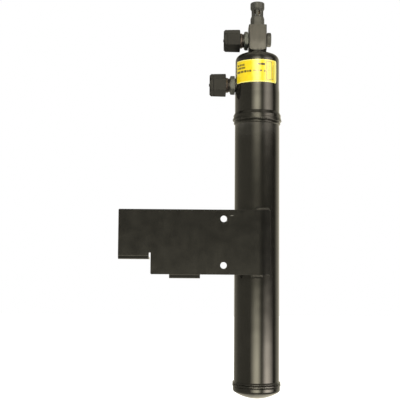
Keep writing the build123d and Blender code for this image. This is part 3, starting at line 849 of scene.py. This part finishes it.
def thread_cap(port, matrix):
    """Moulded hex cap: drafted flats, turned-down closed end with a gate mark, and a mould line."""
    start = collar_length + port_hex_length[port] + cap_start
    end = start + cap_length
    recess = end - 0.25
    nub_top = end + cap_nub_height
    bore = thread_r + 0.1
    flat = cap_hex / 2
    corner = cap_hex / sqrt(3)
    past_flats = corner + 1
    line = end - cap_mould_line
    slope = tan(radians(cap_draft))
    turn = cap_turn[port]
    outline = [(bore, end - cap_wall), (bore, start + 0.6), (bore + 0.6, start), (flat - 0.7, start)]
    outline += [(flat + 0.6, start + 0.1), (corner - 0.4, start + 0.3), (past_flats, start + 0.7)]
    outline += [(past_flats, start + 0.7 + (line - 1.2 - start - 0.7) * step / 6) for step in range(1, 7)]
    outline += [(past_flats, line - 0.6 + 0.15 * step) for step in range(9)]
    outline += [(past_flats, line + 1.2), (corner + 0.6, end - cap_chamfer - 0.6)]
    for step in range(13):
        outline.append((corner - cap_chamfer * step / 12, end - cap_chamfer + cap_chamfer * step / 12))
    outline += [(corner - cap_chamfer - 0.3, end), (9.0, end), (8.6, recess), (4.0, recess), (3.6, end)]
    outline += [(cap_nub_r + 0.2, end), (cap_nub_r, end + 0.15), (cap_nub_r - 0.1, nub_top - 0.2)]
    outline.append((cap_nub_r - 0.4, nub_top))
    hexagon = flats(6, cap_hex, turn, 0.14)

    def section(angle, radius, height):
        if radius < bore + 0.1:
            return radius, height
        r, z = hexagon(angle, radius, height)
        if radius > flat:
            r -= (height - start) * slope
            r -= 0.3 * exp(-(((height - line) / 0.28) ** 2))
        return r, z

    turned(port + "_cap", outline, "cap", matrix, close_angles(6, turn), section, loop=False, sharp=45)


def inlet_weld():
    outer = 10.2
    root = -1.6
    ripples = 22
    rings = []
    for radius, rise in ((collar_r, root), (outer, root), (outer, 0.0), (outer - 0.3, 0.45), (collar_r, 0.9)):
        ring = []
        for angle in even_angles(240):
            sink = cup_top_r - sqrt(cup_top_r ** 2 - (radius * sin(angle)) ** 2)
            bead = 0.12 * sin(ripples * angle) if rise > 0.2 else 0
            up = max(rise + bead, root) - (sink if rise <= 0 else sink * 0.5)
            ring.append(at(radius, angle, up, TO_INLET))
        rings.append(ring)
    piece("inlet_weld", [skin(rings, loop=True)], "paint", sharp=60)


def port_plug():
    end = plug_standoff + plug_hex_length
    corner, flat, drop, chamfer = hex_end(plug_hex, end)
    outline = [(plug_shank_r, -plug_shank_length), (plug_shank_r, plug_standoff), (flat, plug_standoff)]
    outline += [(corner + 1, plug_standoff + 0.2), (corner + 1, end - drop - 1)] + chamfer
    outline += [(flat - 0.8, end), (5.2, end), (4.9, end - 0.3), (0.5, end - 0.3)]
    angles = close_angles(6, plug_turn)
    turned("port_plug", outline, "plug", TO_PLUG, angles, flats(6, plug_hex, plug_turn), loop=False, sharp=50)


# Relief valve


def cage_post(turn, bottom, top):
    """One bar of the cage, between two slots with parallel sides."""
    outer_gap = asin(valve_slot_width / 2 / valve_cage_r)
    inner_gap = asin(valve_slot_width / 2 / valve_bore_r)
    pitch = 2 * pi / valve_slots
    outside = [turn + outer_gap + (pitch - 2 * outer_gap) * step / 8 for step in range(9)]
    inside = [turn + pitch - inner_gap - (pitch - 2 * inner_gap) * step / 8 for step in range(9)]
    rings = []
    for height in (bottom, bottom + 0.3, (bottom + top) / 2, top - 0.3, top):
        ring = [at(valve_cage_r, angle, height) for angle in outside]
        rings.append(ring + [at(valve_bore_r, angle, height) for angle in inside])
    return skin(rings)


def relief_valve_body():
    hex_top = block_top + valve_hex_height
    shoulder = hex_top + valve_shoulder
    cage_top = shoulder + valve_cage_height
    corner = valve_hex / sqrt(3)
    seat = block_top + valve_seat
    lower = [(valve_orifice_r, valve_low), (valve_shank_r, valve_low), (valve_shank_r, block_top)]
    lower += [(valve_hex / 2 - 0.3, block_top), (corner + 1, block_top + 0.3), (corner + 1, block_top + 5)]
    lower.append((corner + 1, hex_top - 0.8))
    for step in range(17):
        radius = corner + 0.1 - (corner - valve_cage_r) * step / 16
        lower.append((radius, hex_top + valve_shoulder * step / 16))
    lower += [(valve_bore_r, shoulder), (valve_bore_r, seat), (valve_orifice_r + 0.8, seat)]
    lower.append((valve_orifice_r, seat - 0.4))
    corners = [(valve_bore_r, cage_top), (valve_cage_r, cage_top), (valve_head_r, cage_top + valve_flare)]
    corners += [(valve_head_r, valve_top), (valve_bore_r + 0.4, valve_top), (valve_bore_r, valve_top - 0.4)]
    upper = rounded(corners, [0.1, 0.8, 1.8, 0.1])
    surfaces = [skin(lathe(lower, PLACE, close_angles(6), flats(6, valve_hex)), loop=True)]
    surfaces.append(skin(lathe(upper), loop=True))
    for slot in range(valve_slots):
        turn = radians(valve_slot_turn - 90) + 2 * pi * slot / valve_slots
        surfaces.append(cage_post(turn, shoulder - 0.1, cage_top + 0.1))
    piece("relief_valve_body", surfaces, "valve", sharp=45)


def relief_spring():
    """Helical spring that shortens as the poppet lifts."""
    foot = foot_of("relief_spring")
    top = top_of("relief_spring")
    wire = spring_wire_r
    coil = (valve_bore_r * 2 + 6.0) / 4
    rise = top - foot - 2 * wire
    steps = 160
    rings = []
    for step in range(steps + 1):
        angle = 2 * pi * spring_coils * step / steps
        centre = Vector((coil * cos(angle), coil * sin(angle), foot + wire + rise * step / steps))
        out = Vector((cos(angle), sin(angle), 0))
        ring = []
        for turn in even_angles(12):
            ring.append(PLACE @ (centre + out * wire * cos(turn) + Vector((0, 0, wire * sin(turn)))))
        rings.append(ring)
    made = piece("relief_spring", [skin(rings)], "spring")
    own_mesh(made)


# Bracket: a flat blank that is folded and rolled


def blank_outline():
    """Flat blank: X along the plate, Z measured from the bolt holes, flanges unfolded below."""
    right = axis.x + wrap_length
    # Each corner with its radius
    foot_low = foot_start - bend_arc - (foot_depth - sheet - bend_inside)
    tab_low = plate_bottom - bend_arc - (tab_depth - sheet - bend_inside)
    corners = [
        ((plate_left, -plate_bottom), 1.5), ((right, -plate_bottom), 0.6), ((right, plate_bottom), 0.6),
        ((tab_right, plate_bottom), 0.3), ((tab_right, tab_low), 3.0), ((tab_left, tab_low), 3.0),
        ((tab_left, plate_bottom), 0.3), ((slot_right, plate_bottom), 1.5), ((slot_right, slot_top), 1.1),
        ((foot_right, slot_top), 1.1), ((foot_right, foot_low), 3.0), ((plate_left, foot_low), 3.0),
    ]
    points = []
    for index, (corner, radius) in enumerate(corners):
        after = corners[(index + 1) % len(corners)][0]
        points += rounded([corners[index - 1][0], corner, after], [radius], 5)[1:-1]
    return points


def fold(x, z, depth):
    """Where a point of the blank lies once folded, depth back from its front face."""
    start = foot_start if x < foot_right + slot_width / 2 else plate_bottom
    if z < start:
        run = start - z
        angle = min(run / bend_outside, pi / 2)
        radius = bend_outside - depth
        back = bend_outside - radius * cos(angle) + max(run - bend_arc, 0)
        return Vector((x, back, start - radius * sin(angle)))
    if x > axis.x:
        angle = (x - axis.x) / axis.y
        radius = axis.y - depth
        return Vector((axis.x + radius * sin(angle), axis.y - radius * cos(angle), z))
    return Vector((x, depth, z))


def blank_cuts():
    """Lines across and up the blank, close together where it bends and beside its edges, where the rubbed paint
    and painted edge highlight lie.
    """
    across = Vector((1, 0, 0))
    up = Vector((0, 0, 1))
    edge_mark = 0.9
    grid = 4.0
    beside_hole = bolt_hole_r + edge_mark / 2
    strips = [plate_left + edge_mark, -beside_hole, beside_hole]
    for side in (foot_right, slot_right, tab_right, tab_left):
        strips += [side - edge_mark, side - edge_mark / 3, side + edge_mark / 3, side + edge_mark]
    strips += [plate_left + grid * k for k in range(1, 50)]
    levels = [-plate_bottom - edge_mark, plate_bottom + edge_mark / 3, plate_bottom + edge_mark]
    for middle in (-bolt_spacing / 2, bolt_spacing / 2):
        levels += [middle - beside_hole, middle + beside_hole]
    levels += [slot_top - edge_mark / 2, slot_top + edge_mark / 3, slot_top + edge_mark]
    levels += [-plate_bottom - grid * k for k in range(1, 30)]
    cuts = [(across, axis.x + wrap_length * k / 16) for k in range(16)]
    cuts += [(up, start - bend_arc * k / 10) for start in (foot_start, plate_bottom) for k in range(11)]
    return cuts + [(across, x) for x in strips] + [(up, z) for z in levels]


def mounting_bracket():
    work = bmesh.new()
    rims = [blank_outline()]
    for middle in (-bolt_spacing / 2, bolt_spacing / 2):
        rims.append([(bolt_hole_r * cos(a), middle + bolt_hole_r * sin(a)) for a in even_angles(48)])
    edges = []
    for rim in rims:
        verts = [work.verts.new((x, 0, z)) for x, z in rim]
        edges += [work.edges.new((verts[index - 1], verts[index])) for index in range(len(verts))]
    bmesh.ops.triangle_fill(work, use_beauty=True, use_dissolve=False, edges=edges, normal=(0, -1, 0))
    for normal, where in blank_cuts():
        everything = work.verts[:] + work.edges[:] + work.faces[:]
        bmesh.ops.bisect_plane(work, geom=everything, plane_co=normal * where, plane_no=normal, dist=1e-5)
    work.verts.ensure_lookup_table()
    work.verts.index_update()
    spots = [(vert.co.x, vert.co.z) for vert in work.verts]
    points = [ROW @ fold(x, z, depth) for depth in (0.0, sheet) for x, z in spots]
    count = len(spots)
    faces = [tuple(vert.index for vert in face.verts) for face in work.faces]
    walls = [tuple(vert.index for vert in edge.verts) for edge in work.edges if edge.is_boundary]
    work.free()
    faces += [tuple(count + index for index in reversed(face)) for face in faces]
    faces += [(a, b, count + b, count + a) for a, b in walls]
    made = piece("mounting_bracket", [(points, faces)], "bracket_paint", sharp=35)
    bevel = made.modifiers.new("edges", "BEVEL")
    bevel.width = 0.00045
    bevel.segments = 2
    bevel.limit_method = "ANGLE"
    bevel.angle_limit = radians(50)
    weighted = made.modifiers.new("normals", "WEIGHTED_NORMAL")
    weighted.weight = 100
    weighted.keep_sharp = True


def stitch_weld(name, edge, side, start, end):
    """Short fillet bead on the plate's edge, with crescent ripples and rounded ends."""
    inner = tube_r
    outer = tube_r + 0.05 + sheet * 0.9
    root = tube_r - 0.4
    leg = 4.5
    length = radians(end - start) * outer
    row_length = 0.16
    steps = int(length / row_length)
    rings = []
    for step in range(steps + 1):
        share = step / steps
        size = max(1 - abs(2 * share - 1) ** 7, 0.02) ** 0.5
        size *= 1 + 0.12 * noise.noise(Vector((share * 9, edge, 0)))
        angle = radians(start + (end - start) * share - 90)
        ring = []
        for spot in range(13):
            across = spot / 12
            bow = sin(pi * across)
            along = share * length / 1.9 - 0.8 * (2 * across - 1) ** 2
            wave = 1 + 0.16 * sin(2 * pi * along) * bow
            radius = inner + (outer - inner) * (1 - across) * size + 0.95 * bow * size * wave
            ring.append(at(radius, angle, edge + side * (leg * across * size + 0.55 * bow * size * wave)))
        ring += [at(root, angle, edge + side * leg * 0.5 * size), at(root, angle, edge)]
        rings.append(ring)
    piece(name, [skin(rings)], "paint", sharp=60)


# Label


def label():
    """Wrapped film with rounded corners and a flat millimetre map for its print."""
    inner = cup_top_r + 0.02
    outer = cup_top_r + label_film
    tall = label_high - label_low
    width = radians(label_left + label_right) * outer
    columns = 90
    corner = 3.0
    rings = []
    flat = []
    for step in range(columns + 1):
        across = width * step / columns
        edge = min(across, width - across)
        trim = corner - sqrt(max(corner ** 2 - max(corner - edge, 0) ** 2, 0))
        angle = radians(-90 - label_left) + across / outer
        top = tall - trim
        ring = []
        for radius, up in ((inner, trim), (outer, trim), (outer, tall / 2), (outer, top), (inner, top)):
            ring.append(at(radius, angle, label_low + up))
            flat.append((across, up))
        rings.append(ring)
    made = piece("label", [skin(rings)], "label", sharp=50)
    layer = made.data.uv_layers.new(name="millimetres")
    for loop in made.data.loops:
        layer.data[loop.index].uv = flat[loop.vertex_index]


upper_shell()
lower_shell()
bottom_head()
upper_girth_weld()
lower_girth_weld()
outlet_block()
block_weld()
port_fitting("outlet", TO_OUTLET)
port_fitting("inlet", TO_INLET)
thread_cap("outlet", TO_OUTLET)
thread_cap("inlet", TO_INLET)
inlet_weld()
port_plug()
relief_valve_body()
relief_spring()
mounting_bracket()
stitch_weld("bracket_upper_weld", plate_top, 1, -8.0, 29.0)
stitch_weld("bracket_lower_weld", plate_top - plate_height, -1, -20.0, 13.0)
label()

for finish, nodes in HIDDEN_NODES.items():
    for node in nodes:
        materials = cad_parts[node].data.materials
        materials.clear()
        materials.append(MATERIALS[finish])


# Studio

FLOOR_DROP = 0.12
SKY_LEVEL = 0.45
PANEL_STRENGTH = 11.0
# Brightness by elevation in degrees of the two panels in front of the object
LEFT_PANEL = (
    (-90, 1.2), (-55, 1.0), (-38, 0.2), (-22, 1.6), (-12, 8.2), (-8, 8.4), (-6, 7.7), (-5, 7.0), (-3.7, 4.4),
    (-2.5, 2.1), (0, 0.7), (3.5, 0.15), (5.8, 0.38), (7.1, 0.75), (8.3, 1.85), (9.25, 2.7), (10.4, 2.3),
    (11.2, 3.0), (12, 6.8), (13.2, 9.6), (15.5, 8.6), (17.5, 6.5), (20, 3.5), (27, 1.6), (45, 0.8), (60, 0.6),
)
RIGHT_PANEL = (
    (-90, 1.2), (-55, 1.0), (-38, 0.2), (-22, 1.8), (-12, 10.5), (-8, 11), (-6.4, 8.6), (-5, 6.5),
    (-3.7, 3.6), (-2.5, 1.3), (0, 0.35), (4.4, 0), (7, 0.18), (8.4, 0.65), (9.25, 1.1), (10.2, 2.5),
    (11, 4.9), (13, 6.2), (16, 5.6), (22, 2.2), (30, 1.2), (60, 0.6),
)
# Share by azimuth in degrees, counted from the camera's side
LEFT_WIDTH = ((-36, 0), (-23, 0.38), (-12, 0.85), (-4, 1), (3, 0.95), (8, 0.7), (18, 0.15), (30, 0))
RIGHT_WIDTH = ((24, 0), (34, 0.42), (40, 0.75), (50, 1), (62, 0.8), (75, 0.4), (90, 0))
ROOM = (
    (-180, 0.9), (-150, 0.5), (-131, 0.6), (-110, 0.42), (-60, 0.4), (8, 0.34), (25, 0.12), (75, 0.08),
    (88, 0.02), (102, 0.15), (116, 0.95), (150, 1.15), (180, 1.1),
)
ROOM_HEIGHT = ((-90, 1.35), (-30, 1.35), (-15, 1), (14, 1), (26, 0.45), (60, 0.3))
OVERHEAD = ((45, 0), (68, 0.5), (90, 0.9))
# The panels shine a little warm off the object, the right one also a little pink
PANEL_TINT = (1.0, 0.93, 0.73)
RIGHT_TINT = (1.0, 0.9, 0.78)


def ramp(value, stops, span, scale=1.0):
    """Curve through (degrees, brightness) stops, with span the half range of the degrees."""
    made = add(value.id_data, "ValToRGB", {"Fac": value})
    elements = made.color_ramp.elements
    while len(elements) > 1:
        elements.remove(elements[-1])
    for index, (degrees, brightness) in enumerate(stops):
        spot = (degrees + span) / (2 * span)
        element = elements[0] if index == 0 else elements.new(spot)
        element.position = spot
        element.color = (*[brightness / scale] * 3, 1.0)
    return times(made.outputs["Color"], scale)


def studio_world():
    """White behind the object for the camera, and soft panels and a dim room in reflections."""
    world = bpy.data.worlds.new("studio")
    bpy.context.scene.world = world
    world.use_nodes = True
    tree = world.node_tree
    direction = split(coordinates(tree, "Generated"))
    facing = times(direction["Y"], -1.0)
    azimuth = between(maths("ARCTAN2", direction["X"], facing), -pi, pi)
    elevation = between(maths("ARCSINE", direction["Z"]), -pi / 2, pi / 2)

    def glow(widths, heights, strength=1.0):
        return times(ramp(azimuth, widths, 180), ramp(elevation, heights, 90, strength))

    left = glow(LEFT_WIDTH, LEFT_PANEL, PANEL_STRENGTH)
    right = glow(RIGHT_WIDTH, RIGHT_PANEL, PANEL_STRENGTH)
    room = maths("ADD", glow(ROOM, ROOM_HEIGHT), ramp(elevation, OVERHEAD, 90, 4.0))
    seen = maths("ADD", maths("ADD", left, right), room)
    ray = add(tree, "LightPath").outputs
    white = maths("MAXIMUM", ray["Is Camera Ray"], ray["Is Transmission Ray"])
    level = chosen(ray["Is Glossy Ray"], SKY_LEVEL, seen)
    shine = maths("SUBTRACT", ray["Is Glossy Ray"], white)
    tint = blended(maths("DIVIDE", right, seen), PANEL_TINT, RIGHT_TINT)
    fill(tree.nodes["Background"], {
        "Strength": chosen(white, level, 1.0),
        "Color": blended(shine, (1.0, 1.0, 1.0), tint),
    })


def studio_floor():
    """Pale floor that stays white to the camera but for the object's shadow."""
    mesh = bpy.data.meshes.new("floor")
    half = 4.0
    level = base * MM - FLOOR_DROP
    corners = [(x, y, level) for x, y in ((-half, -half), (half, -half), (half, half), (-half, half))]
    mesh.from_pydata(corners, [], [(0, 1, 2, 3)])
    floor = new_object("floor", mesh)
    material, tree, shader = new_material("floor_white")
    fill(shader, {"Base Color": (0.8, 0.8, 0.8), "Roughness": 1.0, "Specular IOR Level": 0.0})
    away = add(tree, "VectorMath", {0: coordinates(tree)}, operation="LENGTH").outputs["Value"]
    glow = add(tree, "Emission", {"Strength": between(away, 0.35, 1.3, 0.6, 1.1)}).outputs[0]
    both = add(tree, "AddShader", {0: shader.outputs[0], 1: glow}).outputs[0]
    ray = add(tree, "LightPath").outputs
    seen = maths("MAXIMUM", ray["Is Camera Ray"], ray["Is Glossy Ray"])
    seen = maths("MAXIMUM", seen, ray["Is Transmission Ray"])
    pick = add(tree, "MixShader", {0: seen, 1: shader.outputs[0], 2: both}).outputs[0]
    fill(tree.nodes["Material Output"], {"Surface": pick})
    mesh.materials.append(material)
    floor.visible_glossy = False


def softbox(name, spot, aim, size, power):
    """Area lamp that lights the object; the world draws its reflection."""
    lamp = bpy.data.lights.new(name, "AREA")
    lamp.shape = "RECTANGLE"
    lamp.size, lamp.size_y = size
    lamp.energy = power
    made = new_object(name, lamp)
    made.location = spot
    made.rotation_euler = (Vector(aim) - Vector(spot)).to_track_quat("-Z", "Y").to_euler()
    made.visible_glossy = False


def studio_camera():
    """The photograph's viewpoint."""
    focal_px = 850.0
    image_px = 400.0
    pitch = 4.37
    roll = -0.45
    left = 79.4
    back = 1204.3
    up = 184.3
    data = bpy.data.cameras.new("camera")
    data.sensor_width = 36.0
    data.lens = focal_px / image_px * data.sensor_width
    data.shift_x = -0.5 / image_px
    data.shift_y = 0.5 / image_px
    data.dof.use_dof = False
    camera = new_object("camera", data)
    camera.location = ((axis.x - left) * MM, (axis.y - back) * MM, (base + up) * MM)
    camera.rotation_euler = (radians(90 + pitch), radians(roll), 0)
    bpy.context.scene.camera = camera


studio_world()
studio_floor()
softbox("key", (-0.8, -1.45, 1.5), (0, 0, 0.05), (1.2, 1.2), 34.0)
softbox("fill", (1.5, -1.4, 0.4), (0, 0, 0), (1.0, 1.6), 18.0)
softbox("back", (0.4, 2.0, 1.2), (0, 0, 0), (1.6, 1.2), 18.0)
studio_camera()
bpy.context.scene.view_settings.view_transform = "Standard"
